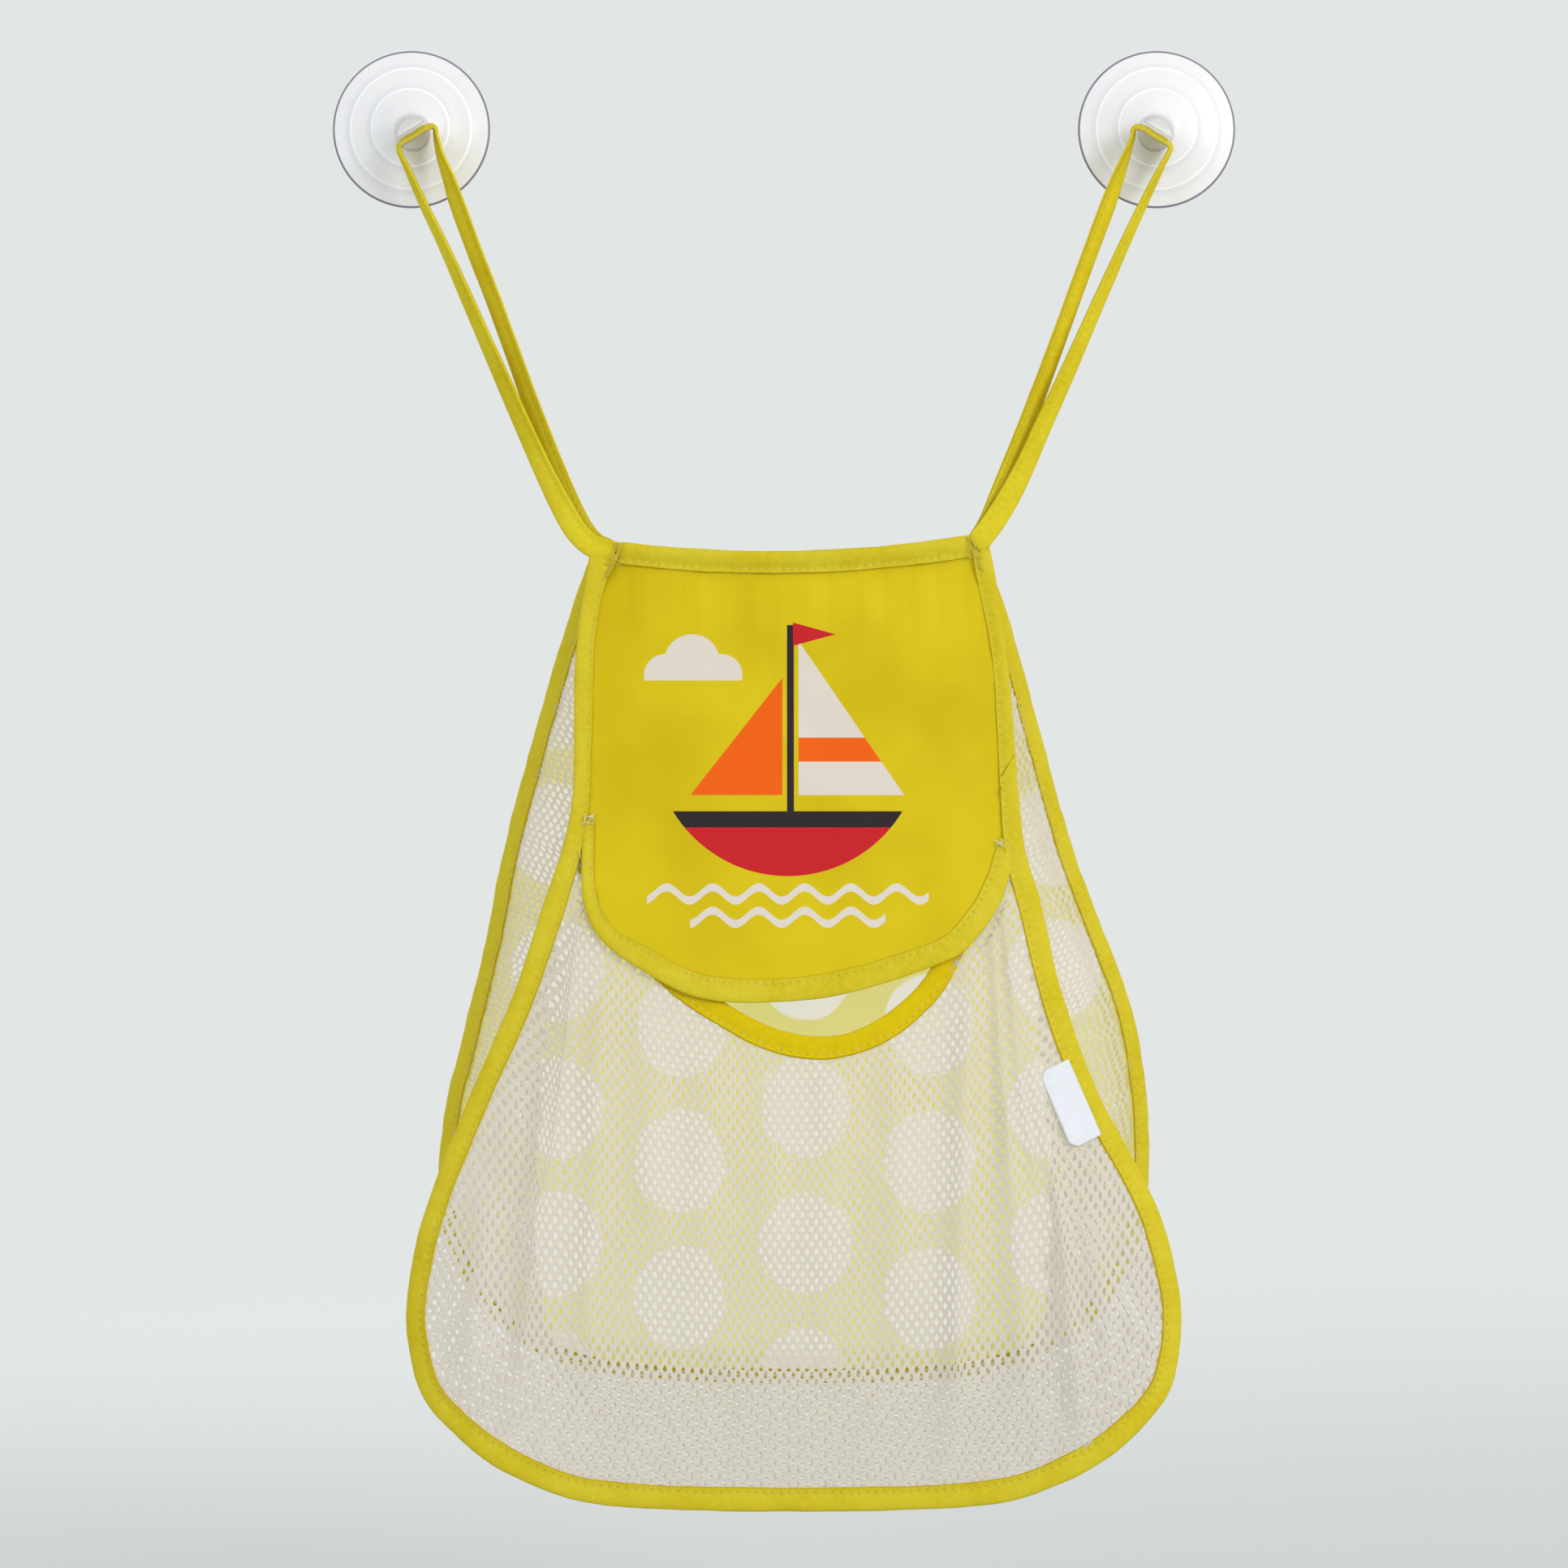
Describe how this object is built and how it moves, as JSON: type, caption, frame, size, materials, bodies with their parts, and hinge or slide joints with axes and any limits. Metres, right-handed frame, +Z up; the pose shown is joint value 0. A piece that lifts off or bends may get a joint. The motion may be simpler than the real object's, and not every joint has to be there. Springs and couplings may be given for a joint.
{
  "type": "bath toy organizer",
  "caption": "Net bag with a lifting flap over a scooped mouth, hung from two suction cups by loops of binding tape, to drain and store bath toys.",
  "frame": {"origin": "on the wall plane, midway between the middles of the two suction cups", "axes": "+Z up, +X to the right as seen from the front, +Y into the wall; the front faces -Y"},
  "size_m": [0.3444, 0.0883, 0.5416],
  "materials": {
    "cup": "soft clear PVC, slightly milky, smooth and glossy",
    "tape": "folded grosgrain binding tape, matte, yellow-green, sewn with one row of stitches",
    "mouth_tape": "binding tape round the mouth, a deeper yellow, matte",
    "coated_fabric": "coated yellow cloth, soft sheen, light puckers",
    "back_fabric": "pale yellow coated cloth with white oval dots",
    "net": "white knitted polyester net with small oval holes",
    "label": "plain white woven tape, folded and sewn in",
    "thread": "pale polyester thread, close bar-tack stitches"
  },
  "bodies": {
    "cups": {"left_suction_cup": "cup", "right_suction_cup": "cup"},
    "bag": {"left_strap_loop": "tape", "right_strap_loop": "tape", "top_binding": "tape", "back_panel": "back_fabric", "back_binding": "tape", "gusset": "net", "front_mesh_panel": "net", "mouth_binding": "mouth_tape", "front_binding": "tape", "face_panel": "coated_fabric", "label": "label", "left_corner_tack": "thread", "right_corner_tack": "thread", "left_flap_tack": "thread", "right_flap_tack": "thread"},
    "flap": {"flap": "coated_fabric", "flap_binding": "tape"}
  },
  "joints": [
    {"name": "bag_swing", "type": "hinge", "parent": "cups", "child": "bag", "pos_m": [0, -0.01576, -0.00454], "axis": [-1, 0, 0], "range_deg": [0, 60], "deforming": ["left_strap_loop", "right_strap_loop"]},
    {"name": "flap_lift", "type": "hinge", "parent": "bag", "child": "flap", "pos_m": [0.0034, -0.04095, -0.2658], "axis": [-0.9988, 0.0121, 0.0484], "range_deg": [0, 120]}
  ]
}
